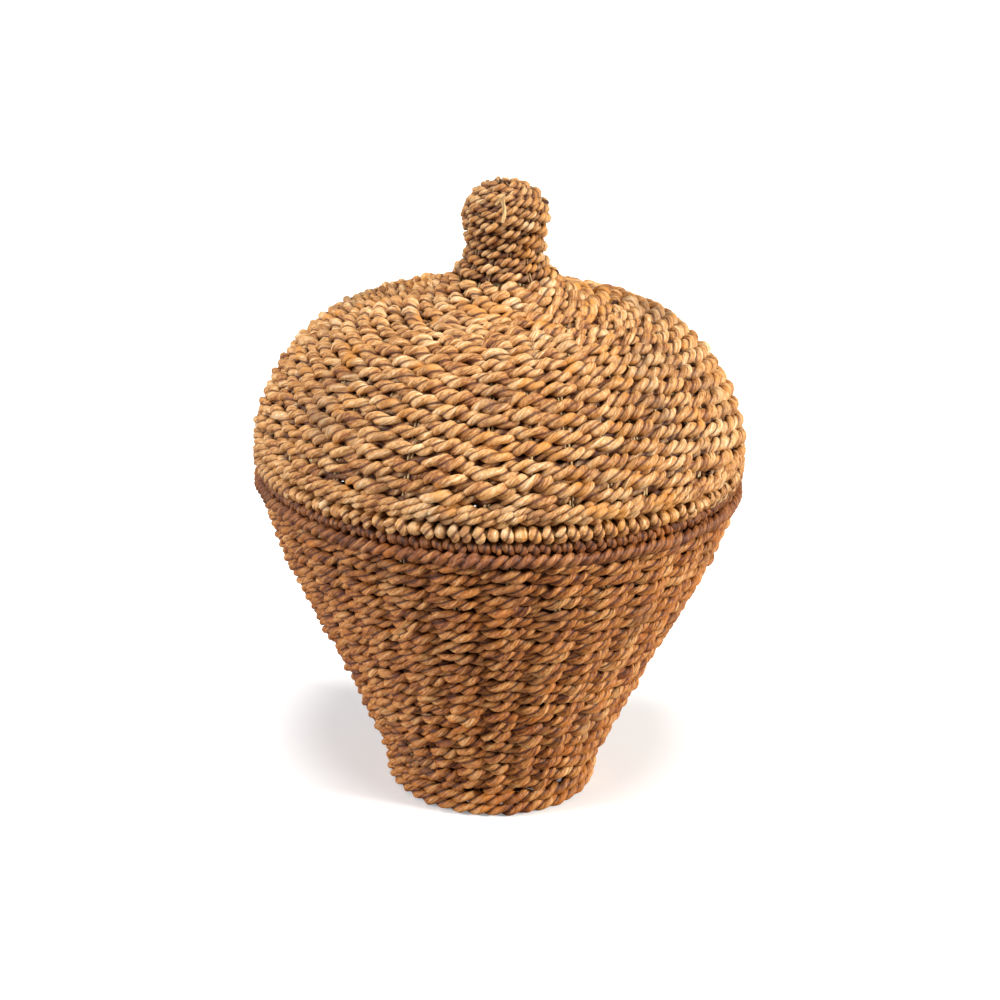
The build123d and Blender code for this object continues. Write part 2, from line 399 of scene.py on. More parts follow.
@dataclass
class Weave(InWall):
    """Cord woven in one long spiral before and behind an odd number of stakes.

    Attributes:
        first: Where the spiral starts along the outline.
        last: Where it ends.
        stakes: Number of stakes.
        pitch: Distance from one row to the next, at the start and at the end.
        twine: The cord.
        seed: Picks the unevenness.
        squeeze: How much thinner the cord is where it passes between stakes.
        uneven: How much the floats differ from one another.
    """

    first: float
    last: float
    stakes: int
    pitch: tuple[float, float]
    twine: Twine
    seed: int
    squeeze: float = 0.12
    uneven: float = 1.0

    def path(self) -> tuple[Path, np.ndarray]:
        """The whole spiral, and the distance along the outline at each of its points."""
        chance = np.random.default_rng(self.seed)
        turns = 2 * (self.last - self.first) / sum(self.pitch)
        coarse = np.linspace(0, TURN * turns, int(120 * turns) + 2)
        radius, _ = self.outline.at(self.climb(coarse, turns))
        radius = np.maximum(radius - self.wall / 2, 0.002)
        run = np.concatenate([[0.0], np.cumsum(0.5 * (radius[1:] + radius[:-1]) * np.diff(coarse))])
        angle = np.interp(np.arange(0, run[-1], self.twine.step), run, coarse)
        along = self.climb(angle, turns)
        passing = np.cos(self.stakes * angle / 2)
        float_number = self.stakes * angle / TURN
        float_count = int(float_number[-1]) + 3
        plump, bulge, shift = (
            np.interp(
                float_number,
                np.arange(float_count),
                chance.normal(0, self.uneven * spread, float_count),
            )
            for spread in (PLUMP, BULGE, SHIFT)
        )
        depth = CORD_SWING * 0.5 * (self.wall - PRESSED * self.twine.width)
        out = -CORD_LINE * self.wall + (depth + bulge) * passing * (1.3 - 0.3 * passing**2)
        drift = Wander(self.seed + 1, (0.9, 1.7, 3.1), 0.0007 * self.uneven)(run[-1] * angle / angle[-1])
        points = self.outline.place(along + shift + drift, out, angle)
        distance = distances(points)
        size = (1 - self.squeeze * (1 - np.abs(passing))) * (1 + plump)
        size = size * (1 + Wander(self.seed + 2, (0.013, 0.021, 0.05, 0.11), 0.075)(distance))
        size = size * np.interp(angle, (0, angle[-1]), self.pitch) * 2 / sum(self.pitch)
        uneven = Wander(self.seed + 3, (0.04, 0.09, 0.3), 0.8)(distance)
        twist = self.twine.turning(distance) + uneven
        return Path(points, size, twist, False, *self.heart(along, angle)), along

    def climb(self, angle: np.ndarray, turns: float) -> np.ndarray:
        """How far along the outline the spiral has come at each angle."""
        rows = angle / TURN
        return self.first + self.pitch[0] * rows + 0.5 * (self.pitch[1] - self.pitch[0]) * rows**2 / turns

    def lay(self, body: Body, finish: bpy.types.Material, bands: list[tuple[str, str, float]]) -> None:
        """Adds the weave to the scene, cut into bands.

        Args:
            body: The body that it rides on.
            finish: Its material.
            bands: For each band its name, its CAD node and where it ends along the outline.
        """
        path, along = self.path()
        lines = (path.points, path.size, path.twist, path.middle, path.outward)
        begin = 0
        for name, node, limit in bands:
            end = int(np.searchsorted(along, limit))
            points, size, twist, middle, outward = (line[max(begin - 1, 0) : end] for line in lines)
            piece = Path(points, size, twist, False, middle, outward)
            add_piece(swept_mesh(name, [piece], self.twine.section()), body, finish, (node,))
            begin = end


@dataclass
class Stakes(InWall):
    """Upright stakes, each a pair of thin sticks side by side.

    Attributes:
        first: Where the stakes start along the outline.
        last: Where they end.
        count: Number of stakes.
        thickness: Diameter of one stick.
        apart: From the middle of one stick to the middle of its partner.
        seed: Picks the unevenness.
    """

    first: float
    last: float
    count: int
    thickness: float = 0.0018
    apart: float = 0.0024
    seed: int = 5

    def mesh(self, name: str) -> bpy.types.Mesh:
        """All the sticks as one mesh."""
        chance = np.random.default_rng(self.seed)
        along = np.linspace(self.first, self.last, max(int((self.last - self.first) / 0.008), 6))
        radius, _ = self.outline.at(along)
        radius = np.maximum(radius - self.wall / 2, 0.004)
        paths = []
        for number in range(self.count):
            for side in (-0.5, 0.5):
                lean = side * self.apart * (1 + 0.25 * np.sin(along * 90 + chance.uniform(0, TURN)))
                angle = TURN * number / self.count + lean / radius
                out = np.full_like(along, -0.5 * self.wall + chance.normal(0, 0.0003))
                size = 1 + 0.12 * np.sin(along * 130 + chance.uniform(0, TURN))
                paths.append(Path(self.outline.place(along, out, angle), size, np.zeros_like(along)))
        return swept_mesh(name, paths, oval(self.thickness, self.thickness, 6))

    def lay(self, name: str, node: str, body: Body, finish: bpy.types.Material) -> None:
        """Adds the sticks to the scene in the place of a CAD node."""
        add_piece(self.mesh(name), body, finish, (node,))


@dataclass
class Wale(InWall):
    """Heavy strands that pass in long slanting strokes over two stakes and behind the next.

    Attributes:
        middle: The band's middle along the outline.
        height: How far each stroke climbs or falls.
        strokes: Strokes that one strand makes in a turn.
        strands: Number of strands.
        twine: The cord.
        depth: How far the strokes stand before the middle of the wall.
        fall: +1 where strokes fall to the right as seen from outside, -1 where they climb.
        seed: Picks the unevenness.
    """

    middle: float
    height: float
    strokes: int
    strands: int
    twine: Twine
    depth: float
    fall: int = 1
    seed: int = 31

    def mesh(self, name: str) -> bpy.types.Mesh:
        """All the strands as one mesh."""
        radius, _ = self.outline.at(np.array([self.middle]))
        count = int(TURN * float(radius[0]) / self.twine.step)
        angle = np.linspace(0, TURN, count, endpoint=False)
        front = (self.strands - 0.8) / self.strands
        paths = []
        for strand in range(self.strands):
            phase = (self.strokes * angle / TURN + strand / self.strands) % 1
            before = np.clip(phase / front, 0, 1)
            behind = np.clip((phase - front) / (1 - front), 0, 1)
            climb = np.where(phase < front, 0.5 - before, -0.5 + behind * behind * (3 - 2 * behind))
            rise = np.sin(math.pi * before) ** 0.6
            dip = np.sin(math.pi * behind)
            wave = np.where(phase < front, rise, -dip)
            out = -0.5 * self.wall + self.depth * (0.25 + 0.75 * wave)
            uneven = Wander(self.seed + strand, (0.09, 0.21), 0.0006)(angle * radius[0])
            points = self.outline.place(self.middle + self.fall * self.height * climb + uneven, out, angle)
            distance = distances(points, closed=True)
            size = 0.86 + 0.14 * np.clip(wave + 0.6, 0, 1)
            size = size + Wander(self.seed + 9, (0.05, 0.12), 0.05)(distance[:-1])
            heart = self.heart(np.full_like(angle, self.middle), angle)
            paths.append(Path(points, size, self.twine.closing(distance)[:-1], True, *heart))
        return swept_mesh(name, paths, self.twine.section())


@dataclass
class RopeRing:
    """A twisted rope laid in a closed ring.

    Attributes:
        radius: To the middle of the rope.
        height: Of the middle of the rope.
        twine: The rope.
        seed: Picks the unevenness.
        flat: Factor on its height.
        waver: How far its line wanders.
    """

    radius: float
    height: float
    twine: Twine
    seed: int
    flat: float = 1.0
    waver: float = 0.0005

    def mesh(self, name: str) -> bpy.types.Mesh:
        """The ring's mesh."""
        count = int(TURN * self.radius / self.twine.step)
        angle = np.linspace(0, TURN, count, endpoint=False)
        chance = np.random.default_rng(self.seed)
        wave = sum(np.sin(k * angle + chance.uniform(0, TURN)) for k in (5, 9, 14)) / 3
        radius = self.radius + self.waver * wave
        height = self.height + 0.5 * self.waver * np.roll(wave, 7)
        points = np.stack([radius * np.cos(angle), radius * np.sin(angle), height], axis=1)
        distance = distances(points, closed=True)
        size = 1 + 0.04 * np.sin(23 * angle + chance.uniform(0, TURN)) + 0.03 * np.sin(57 * angle)
        line = Path(points, size, self.twine.closing(distance)[:-1], True)
        mesh = swept_mesh(name, [line], self.twine.section())
        middle = Matrix.Translation((0, 0, self.height))
        mesh.transform(middle @ Matrix.Diagonal((1, 1, self.flat, 1)) @ middle.inverted())
        lowest = min(vertex.co.z for vertex in mesh.vertices)
        mesh.transform(Matrix.Translation((0, 0, max(0.0, -lowest))))
        return mesh


def add_rope_ring(
    node: str,
    body: Body,
    finish: bpy.types.Material,
    seed: int,
    plump: float,
    inset: float,
    sides: int,
    step: float,
) -> None:
    """Lays a twisted rope in the place of a ring of the frame.

    Args:
        node: The CAD node.
        body: The body that the rope rides on.
        finish: Its material.
        seed: Picks the unevenness.
        plump: Width of the rope as a share of the ring's height.
        inset: From the ring's outside to the middle of the rope, as the same share.
        sides: Faces round each ply.
        step: Distance between rings of vertices.
    """
    low, high = low_z(node), high_z(node)
    rope = Twine(width=plump * (high - low), lobe=ROPE_LOBE, sides=sides, step=step, bite=0.42)
    ring = RopeRing(half_width(node) - inset * (high - low), 0.5 * (low + high), rope, seed, flat=0.92)
    add_piece(ring.mesh(f"{node}_twist"), body, finish, (node,))


@dataclass
class BoundRim:
    """A rim bound with cord: each pass of the cord is one loop round the core.

    Attributes:
        outer: Outside radius.
        inner: Inside radius.
        low: Height of the underside.
        high: Height of the top.
        pitch: Distance from one loop to the next, round the outside.
        slant: How far the loops lean, in radians.
        seed: Picks the unevenness.
        chunky: Share of loops where only one ply shows.
        thick: How far a loop stands off the core.
        fullness: 1 for a round rim, less for a squarer one.
    """

    outer: float
    inner: float
    low: float
    high: float
    pitch: float
    slant: float
    seed: int
    chunky: float = 0.25
    thick: float = 0.0050
    fullness: float = 0.80

    def loop(self, name: str, plies: int, twist: float) -> bpy.types.Mesh:
        """One loop, lying in the XZ plane round the middle of the rim's section.

        Args:
            name: The mesh's name.
            plies: 1 for a plain loop, 2 where both plies show.
            twist: How far the plies turn over as they pass the outside.

        Returns:
            The loop's mesh.
        """
        wide = 0.5 * (self.outer - self.inner - self.thick)
        tall = 0.5 * (self.high - self.low - self.thick)
        angle = np.linspace(0, TURN, 16, endpoint=False)
        across = wide * np.sign(np.cos(angle)) * np.abs(np.cos(angle)) ** self.fullness
        up = tall * np.sign(np.sin(angle)) * np.abs(np.sin(angle)) ** self.fullness
        points = np.stack([across, up, np.zeros_like(angle)], axis=1)
        size = 0.97 + 0.07 * np.cos(angle) ** 2
        if plies == 2:
            cord = Twine(width=1.02 * self.pitch, sides=5, bite=0.40)
            section = [(0.95 * y, x) for x, y in cord.section()]
        else:
            section = oval(self.thick, 0.94 * self.pitch, 10)
        mesh = swept_mesh(name, [Path(points, size, twist * np.sin(angle), True)], section)
        mesh.transform(Matrix.Rotation(math.pi / 2, 4, "X"))
        return mesh

    def mesh(self, name: str) -> bpy.types.Mesh:
        """All the loops as one mesh."""
        chance = np.random.default_rng(self.seed)
        kinds = ((1, 0.2), (1, -0.2), (2, 0.8), (2, 1.3), (2, 1.8), (2, 2.4))
        odds = [self.chunky / 2] * 2 + [(1 - self.chunky) / 4] * 4
        loops = [self.loop(f"{name}_loop{i}", plies, twist) for i, (plies, twist) in enumerate(kinds)]
        middle = 0.5 * (self.outer + self.inner)
        count = round(TURN * self.outer / self.pitch)
        whole = bmesh.new()
        for number in range(count):
            start, faces = len(whole.verts), len(whole.faces)
            whole.from_mesh(loops[chance.choice(len(loops), p=odds)])
            whole.verts.ensure_lookup_table()
            fresh = whole.verts[start:]
            whole.faces.ensure_lookup_table()
            layer, slide = whole.loops.layers.uv.active, Vector((chance.uniform(0, 9), 0))
            for corner in (corner for face in whole.faces[faces:] for corner in face.loops):
                corner[layer].uv += slide
            angle = TURN * (number + chance.normal(0, 0.05)) / count
            spread = chance.normal(0, (0.015, 0.09, 0.025))
            grow = Matrix.Diagonal((1 + spread[0], 1 + spread[1], 1 + spread[2], 1))
            lean = Matrix.Rotation(self.slant + chance.normal(0, 0.07), 4, "X")
            place = Matrix.Translation((middle, 0, 0.5 * (self.low + self.high)))
            turn = Matrix.Rotation(angle, 4, "Z")
            bmesh.ops.transform(whole, matrix=turn @ place @ lean @ grow, verts=fresh)
        mesh = bpy.data.meshes.new(name)
        bmesh.ops.recalc_face_normals(whole, faces=whole.faces)
        whole.to_mesh(mesh)
        whole.free()
        mesh.shade_smooth()
        for loop in loops:
            bpy.data.meshes.remove(loop)
        return mesh


# ---- finishes ---------------------------------------------------------------------------------------


def srgb(red: float, green: float, blue: float) -> tuple[float, float, float, float]:
    """A linear colour from the 0 to 255 values a painter would read off a card."""
    shares = (red / 255, green / 255, blue / 255)
    linear = [v / 12.92 if v <= 0.04045 else ((v + 0.055) / 1.055) ** 2.4 for v in shares]
    return (*linear, 1.0)


class FibreGrain:
    """The shader group that all plant-fibre finishes share: streaks, ply grooves, weathered patches and the
    masks for painted shade.
    """

    NAME = "fibre_grain"
    INPUTS = (("Streak", 900.0), ("Grooves", 2.0), ("Seed", 0.0))
    # Groove and Buried are masks for painted shade in the ply grooves and deep in the weave
    OUTPUTS = ("Tone", "Patch", "Gold", "Height", "Groove", "Buried")

    def __init__(self) -> None:
        """Builds the group once."""
        self.tree = bpy.data.node_groups.new(self.NAME, "ShaderNodeTree")
        for name, value in self.INPUTS:
            socket = self.tree.interface.new_socket(name, in_out="INPUT", socket_type="NodeSocketFloat")
            socket.default_value = value
        for name in self.OUTPUTS:
            self.tree.interface.new_socket(name, in_out="OUTPUT", socket_type="NodeSocketFloat")
        self.inputs = self.tree.nodes.new("NodeGroupInput")
        self.outputs = self.tree.nodes.new("NodeGroupOutput")
        self.build()

    def feed(self, node: bpy.types.Node, values: tuple) -> bpy.types.NodeSocket:
        """Feeds a node with sockets or numbers and gives its first output."""
        for slot, value in enumerate(values):
            if isinstance(value, bpy.types.NodeSocket):
                self.tree.links.new(value, node.inputs[slot])
            else:
                node.inputs[slot].default_value = value
        return node.outputs[0]

    def math(self, operation: str, a: object, b: object = 0.0, c: object = 0.0) -> bpy.types.NodeSocket:
        """One math node fed by sockets or numbers."""
        node = self.tree.nodes.new("ShaderNodeMath")
        node.operation = operation
        return self.feed(node, (a, b, c))

    def vector(self, x: object, y: object, z: object) -> bpy.types.NodeSocket:
        """A vector of three sockets or numbers."""
        return self.feed(self.tree.nodes.new("ShaderNodeCombineXYZ"), (x, y, z))

    def noise(self, at: bpy.types.NodeSocket, detail: float, rough: float) -> bpy.types.NodeSocket:
        """A noise value at a place."""
        node = self.tree.nodes.new("ShaderNodeTexNoise")
        node.inputs["Scale"].default_value = 1.0
        node.inputs["Detail"].default_value = detail
        node.inputs["Roughness"].default_value = rough
        self.tree.links.new(at, node.inputs["Vector"])
        return node.outputs["Fac"]

    def scaled(self, vector: bpy.types.NodeSocket, factor: float) -> bpy.types.NodeSocket:
        """A vector made longer."""
        node = self.tree.nodes.new("ShaderNodeVectorMath")
        node.operation = "SCALE"
        node.inputs["Scale"].default_value = factor
        self.tree.links.new(vector, node.inputs[0])
        return node.outputs[0]

    def spread(self, value: bpy.types.NodeSocket, low: float, high: float) -> bpy.types.NodeSocket:
        """A value stretched so that low becomes 0 and high becomes 1."""
        node = self.tree.nodes.new("ShaderNodeMapRange")
        node.interpolation_type = "SMOOTHSTEP"
        node.inputs["From Min"].default_value = low
        node.inputs["From Max"].default_value = high
        self.tree.links.new(value, node.inputs["Value"])
        return node.outputs["Result"]

    def build(self) -> None:
        """Lays the nodes out."""
        coordinates = self.tree.nodes.new("ShaderNodeTexCoord")
        split = self.tree.nodes.new("ShaderNodeSeparateXYZ")
        self.tree.links.new(coordinates.outputs["UV"], split.inputs[0])
        along, around = split.outputs[0], split.outputs[1]
        seed = self.inputs.outputs["Seed"]
        across = self.math("MULTIPLY", around, 17.0)
        streaks = self.noise(self.vector(self.math("MULTIPLY", along, 75.0), across, seed), 4.0, 0.65)
        streaks = self.spread(streaks, 0.30, 0.70)
        packed = self.math("MULTIPLY", along, self.inputs.outputs["Streak"])
        flecks = self.noise(self.vector(packed, self.math("MULTIPLY", around, 13.0), seed), 3.0, 0.6)
        flecks = self.spread(flecks, 0.34, 0.62)
        turned = self.math("MULTIPLY", around, self.inputs.outputs["Grooves"])
        by_ply = self.math("MULTIPLY", self.math("FLOOR", turned), 7.3)
        lengths = self.noise(self.vector(self.math("MULTIPLY", along, 34.0), by_ply, seed), 2.0, 0.6)
        from_groove = self.math("ABSOLUTE", self.math("SUBTRACT", self.math("FRACT", turned), 0.5))
        # painted shade: a mask for the dark colour in the grooves between the plies
        groove = self.spread(from_groove, 0.17, 0.03)
        patch = self.noise(self.scaled(coordinates.outputs["Object"], 24.0), 3.0, 0.6)
        gold = self.noise(self.scaled(coordinates.outputs["Object"], 41.0), 2.0, 0.5)
        lengths = self.spread(lengths, 0.28, 0.72)
        tone = self.math("MULTIPLY_ADD", lengths, 0.36, self.math("MULTIPLY", streaks, 0.30))
        tone = self.math("MULTIPLY_ADD", flecks, 0.20, tone)
        # painted shade: the ply crests are made lighter than the grooves
        tone = self.math("MULTIPLY_ADD", from_groove, 0.20, tone)
        height = self.math("MULTIPLY_ADD", streaks, 0.65, self.math("MULTIPLY", flecks, 0.35))
        # painted shade: a mask for the fibres that lie deep in their wall
        attribute = self.tree.nodes.new("ShaderNodeAttribute")
        attribute.attribute_name = BURIED
        buried = self.spread(attribute.outputs["Fac"], 0.18, 0.90)
        for name, value in zip(self.OUTPUTS, (tone, patch, gold, height, groove, buried)):
            self.tree.links.new(value, self.outputs.inputs[name])


@dataclass(frozen=True)
class FibreFinish:
    """A plant-fibre finish.

    Attributes:
        name: The material's name.
        dark: Colour of the darkest fibres, also the colour of the painted shade in the ply grooves and deep
            in the weave.
        brown: Colour of the dull fibres.
        tan: Colour of most fibres.
        pale: Colour of the lightest fibres.
        weathered: Colour of the odd greyish patches.
        gold: Colour of the odd brighter lengths.
        streak: How tightly the fine fibre pattern is packed along the cord.
        grooves: Number of plies round the cord.
        bump: Strength of the fibre relief.
        rough: Roughness of the dullest fibres.
        shade: How strongly shade is painted on the fibres deep in the weave, from 0 to 1.
        seed: Shifts the pattern.
    """

    name: str
    dark: tuple
    brown: tuple
    tan: tuple
    pale: tuple
    weathered: tuple
    gold: tuple
    streak: float = 420.0
    grooves: float = 2.0
    bump: float = 0.9
    rough: float = 0.60
    shade: float = 0.98
    seed: float = 0.0

    def material(self, grain: FibreGrain) -> bpy.types.Material:
        """Builds the material.

        Args:
            grain: The shared fibre group.

        Returns:
            The new material.
        """
        material = bpy.data.materials.new(self.name)
        material.use_nodes = True
        nodes, links = material.node_tree.nodes, material.node_tree.links
        shader = nodes["Principled BSDF"]
        group = nodes.new("ShaderNodeGroup")
        group.node_tree = grain.tree
        for name, value in (("Streak", self.streak), ("Grooves", self.grooves), ("Seed", self.seed)):
            group.inputs[name].default_value = value
        ramp = nodes.new("ShaderNodeValToRGB")
        stops = ((0.10, self.dark), (0.32, self.brown), (0.56, self.tan), (0.84, self.pale))
        while len(ramp.color_ramp.elements) < len(stops):
            ramp.color_ramp.elements.new(0.5)
        for element, (place, colour) in zip(ramp.color_ramp.elements, stops):
            element.position, element.color = place, colour
        links.new(group.outputs["Tone"], ramp.inputs["Fac"])
        colour = ramp.outputs["Color"]
        for mask, low, high, most, tint in (
            ("Patch", 0.54, 0.70, 0.55, self.weathered),
            ("Gold", 0.56, 0.68, 0.60, self.gold),
            # painted shade: the dark colour in the ply grooves and on the fibres deep in the weave
            ("Groove", 0.0, 1.0, 0.85, self.dark),
            ("Buried", 0.0, 1.0, self.shade, self.dark),
        ):
            amount = nodes.new("ShaderNodeMapRange")
            amount.inputs["From Min"].default_value = low
            amount.inputs["From Max"].default_value = high
            amount.inputs["To Max"].default_value = most
            links.new(group.outputs[mask], amount.inputs["Value"])
            colour = self.mix(nodes, links, amount.outputs["Result"], colour, tint)
        links.new(colour, shader.inputs["Base Color"])
        roughness = nodes.new("ShaderNodeMapRange")
        roughness.inputs["To Min"].default_value = self.rough
        roughness.inputs["To Max"].default_value = self.rough - 0.2
        links.new(group.outputs["Tone"], roughness.inputs["Value"])
        links.new(roughness.outputs["Result"], shader.inputs["Roughness"])
        bump = nodes.new("ShaderNodeBump")
        bump.inputs["Strength"].default_value = self.bump
        bump.inputs["Distance"].default_value = 0.0006
        links.new(group.outputs["Height"], bump.inputs["Height"])
        links.new(bump.outputs["Normal"], shader.inputs["Normal"])
        shader.inputs["Specular IOR Level"].default_value = 0.45
        return material

    @staticmethod
    def mix(
        nodes: bpy.types.Nodes,
        links: bpy.types.NodeLinks,
        factor: bpy.types.NodeSocket,
        first: bpy.types.NodeSocket,
        second: tuple,
    ) -> bpy.types.NodeSocket:
        """Mixes a colour socket with a plain colour."""
        node = nodes.new("ShaderNodeMix")
        node.data_type = "RGBA"
        links.new(factor, node.inputs["Factor"])
        links.new(first, node.inputs[6])
        node.inputs[7].default_value = second
        return node.outputs[2]


class Finishes:
    """Every finish of the basket, built once."""

    def __init__(self) -> None:
        """Builds the shared group and the materials."""
        grain = FibreGrain()
        shades = {
            "dark": srgb(74, 28, 3),
            "brown": srgb(148, 90, 40),
            "tan": srgb(203, 150, 88),
            "pale": srgb(234, 206, 164),
            "weathered": srgb(132, 100, 70),
            "gold": srgb(206, 138, 52),
        }
        # deep: a darker, redder copy of the lid cord's colours for the wall, base and ropes, partly painted
        # shade of the body under the lid and partly a redder tone of its own
        deep = dict(shades, brown=srgb(124, 62, 18), tan=srgb(188, 118, 50), pale=srgb(228, 180, 118))
        deep.update(dark=srgb(54, 15, 0), weathered=srgb(114, 74, 42), gold=srgb(192, 112, 32))
        # shaded: a still darker copy, painted shadow for the heavy course and the mouth's binding under the
        # lid's rim
        shaded = dict(deep, brown=srgb(92, 44, 14), tan=srgb(144, 84, 38), pale=srgb(190, 136, 82))
        straw = {
            "dark": srgb(120, 84, 46),
            "brown": srgb(188, 150, 100),
            "tan": srgb(216, 186, 134),
            "pale": srgb(236, 212, 168),
            "weathered": srgb(170, 136, 94),
            "gold": srgb(214, 176, 110),
        }
        self.cord = FibreFinish("lid_cord_fibre", **shades, shade=0.92).material(grain)
        # the wall's cord and the ropes take the darker copy, partly painted shade
        self.deep_and_shaded_cord = FibreFinish("wall_cord_fibre", **deep, seed=3.0).material(grain)
        self.rope = FibreFinish("rope_fibre", **deep, seed=7.0, streak=360.0).material(grain)
        self.shaded_rope = FibreFinish("shadowed_course_fibre", **shaded, seed=9.0, streak=360.0).material(grain)
        self.binding = FibreFinish("lid_binding_fibre", **shades, seed=11.0).material(grain)
        self.shadowed_binding = FibreFinish("shadowed_mouth_binding_fibre", **shaded, seed=13.0).material(grain)
        # dull: a darker copy of the straw, painted shade for the knob's sticks sunk in its weave
        dull = dict(straw, brown=srgb(120, 84, 48), tan=srgb(150, 112, 70), pale=srgb(176, 138, 94))
        plain = {"grooves": 1.0, "bump": 0.3}
        self.shaded_stick = FibreFinish("shaded_stick", **dull, **plain, seed=19.0, rough=0.75).material(grain)
        self.stick = FibreFinish("pale_stick", **straw, **plain, seed=17.0, rough=0.7).material(grain)


# ---- the basket's own lines -------------------------------------------------------------------------


@dataclass
class Shape:
    """The basket's outlines and main sizes, worked out from the frame."""

    wall: float = field(init=False)
    body: Outline = field(init=False)
    lid: Outline = field(init=False)
    mouth: float = field(init=False)
    lid_foot: float = field(init=False)
    rim_set_back: float = 0.0026
    bulb_share: float = 0.863

    def __post_init__(self) -> None:
        """Reads the sizes."""
        foot = (half_width("foot_rope_upper"), high_z("foot_rope_upper"))
        self.mouth = low_z("body_rim_wrap")
        mouth_radius = half_width("body_rim_wrap") + self.rim_set_back
        self.wall = mouth_radius - half_width("collar_rope_upper")
        points = [
            (half_width("body_weave_lower"), low_z("body_weave_middle")),
            (half_width("body_weave_middle"), low_z("body_weave_upper")),
            (half_width("body_weave_upper"), low_z("body_wale")),
            (mouth_radius, self.mouth),
        ]
        flare = (points[0][0] - foot[0]) / (points[0][1] - foot[1])
        under = (foot[0] - 0.004 * flare, foot[1] - 0.004)
        self.body = Outline([under, foot, *points])
        self.lid_foot = high_z("lid_rim_wrap")
        dome, rise = half_width("lid_rim_wrap") - 0.0006, high_z("lid_weave_upper") - self.lid_foot
        crown, root = half_width("crown_weave"), half_width("knob_weave")
        crown_z, root_z, top = high_z("lid_weave_upper"), high_z("crown_weave"), high_z("knob_cap")
        knob = top - root_z
        bulb = self.bulb_share * root

        def inside(share: float) -> float:
            """Radius at a share of the way in from the dome to the crown."""
            return dome + share * (crown - dome)

        self.lid = Outline(
            [
                (dome, self.lid_foot),
                (dome - 0.0005, self.lid_foot + 0.13 * rise),
                (inside(0.146), self.lid_foot + 0.479 * rise),
                (inside(0.509), self.lid_foot + 0.845 * rise),
                (crown, crown_z),
                (crown + 0.74 * (root - crown), 0.5 * (crown_z + root_z)),
                (root, root_z),
                (0.937 * bulb, root_z + 0.20 * knob),
                (bulb, root_z + 0.59 * knob),
                (0.84 * bulb, root_z + 0.80 * knob),
                (0.44 * bulb, root_z + 0.95 * knob),
                (0.0, top),
            ],
            start=(0.0, 1.0),
            end=(-1.0, 0.0),
        )


@dataclass
class BasketBody:
    """The basket under its lid: foot, base, wall and rim."""

    shape: Shape
    finishes: Finishes
    stakes: int = 29
    rows: tuple[float, float] = (0.0062, 0.0051)
    base_stakes: int = 15

    def build(self) -> None:
        """Builds every piece of the body."""
        self.build_foot()
        self.build_base()
        self.build_wall()
        self.build_rim()

    def build_foot(self) -> None:
        """The two twisted ropes that the basket stands on."""
        for node, seed in (("foot_rope_lower", 51), ("foot_rope_upper", 52)):
            add_rope_ring(node, Body.BASKET, self.finishes.rope, seed, 1.12, 0.50, 8, 0.0022)

    def build_base(self) -> None:
        """The flat woven base with its radial sticks and coiled middle."""
        finish = self.finishes.deep_and_shaded_cord
        middle = 0.5 * (low_z("base_weave") + high_z("base_weave"))
        thick = high_z("base_weave") - low_z("base_weave")
        edge, hub = half_width("base_weave") - 0.003, half_width("base_hub")
        flat = Outline([(radius, middle + 0.5 * thick) for radius in (edge, 0.5 * edge, 0.002)])
        inside = flat.length - hub
        rows = (self.rows[0], self.rows[0])
        weft = Weave(flat, thick, 0.0, inside, self.base_stakes, rows, Twine(width=0.0075), seed=61)
        weft.lay(Body.BASKET, finish, [("base_woven_disc", "base_weave", flat.length)])
        sticks = Stakes(flat, thick, 0.001, flat.length - 0.7 * hub, self.base_stakes, seed=62)
        sticks.lay("base_radial_sticks", "base_stakes", Body.BASKET, self.finishes.stick)
        rows = (0.0068, 0.0068)
        coil = Weave(flat, thick, inside, flat.length - 0.003, 1, rows, Twine(width=0.0088), seed=63)
        coil.lay(Body.BASKET, finish, [("base_coiled_hub", "base_hub", flat.length)])

    def build_wall(self) -> None:
        """The wall's sticks, its weave in three bands and the heavy course under the rim."""
        line, wall = self.shape.body, self.shape.wall
        foot = line.reach(high_z("foot_rope_upper"))
        wale = line.reach(low_z("body_wale"))
        mouth = line.reach(self.shape.mouth)
        twine = Twine(width=0.0101, lobe=0.0116)
        weft = Weave(line, wall, foot - 0.002, wale + 0.001, self.stakes, self.rows, twine, seed=71)
        bands = [
            ("wall_weave_lower", "body_weave_lower", line.reach(low_z("body_weave_middle"))),
            ("wall_weave_middle", "body_weave_middle", line.reach(low_z("body_weave_upper"))),
            ("wall_weave_upper", "body_weave_upper", line.length),
        ]
        weft.lay(Body.BASKET, self.finishes.deep_and_shaded_cord, bands)
        sticks = Stakes(line, wall, foot, mouth, self.stakes, seed=72)
        sticks.lay("wall_sticks", "body_stakes", Body.BASKET, self.finishes.stick)
        twine = Twine(width=0.0096, lobe=0.0088)
        middle, depth = 0.5 * (wale + mouth), 0.5 * wall - 0.0026
        course = Wale(line, wall, middle, 0.0020, 10, 3, twine, depth=depth, fall=-1)
        mesh = course.mesh("wall_heavy_course")
        # painted shadow: the course takes the darker shaded finish, for the shadow of the lid's rim
        add_piece(mesh, Body.BASKET, self.finishes.shaded_rope, ("body_wale",))

    def build_rim(self) -> None:
        """The bound rim of the mouth."""
        node = "body_rim_wrap"
        inner = half_width("collar_rope_upper")
        rim = BoundRim(half_width(node), inner, low_z(node), high_z(node), 0.0078, 0.30, seed=81, chunky=0.1)
        mesh = rim.mesh("mouth_rim_binding")
        # painted shadow: the binding takes the darker shaded finish, for the shadow of the lid's rim
        add_piece(mesh, Body.BASKET, self.finishes.shadowed_binding, (node,))


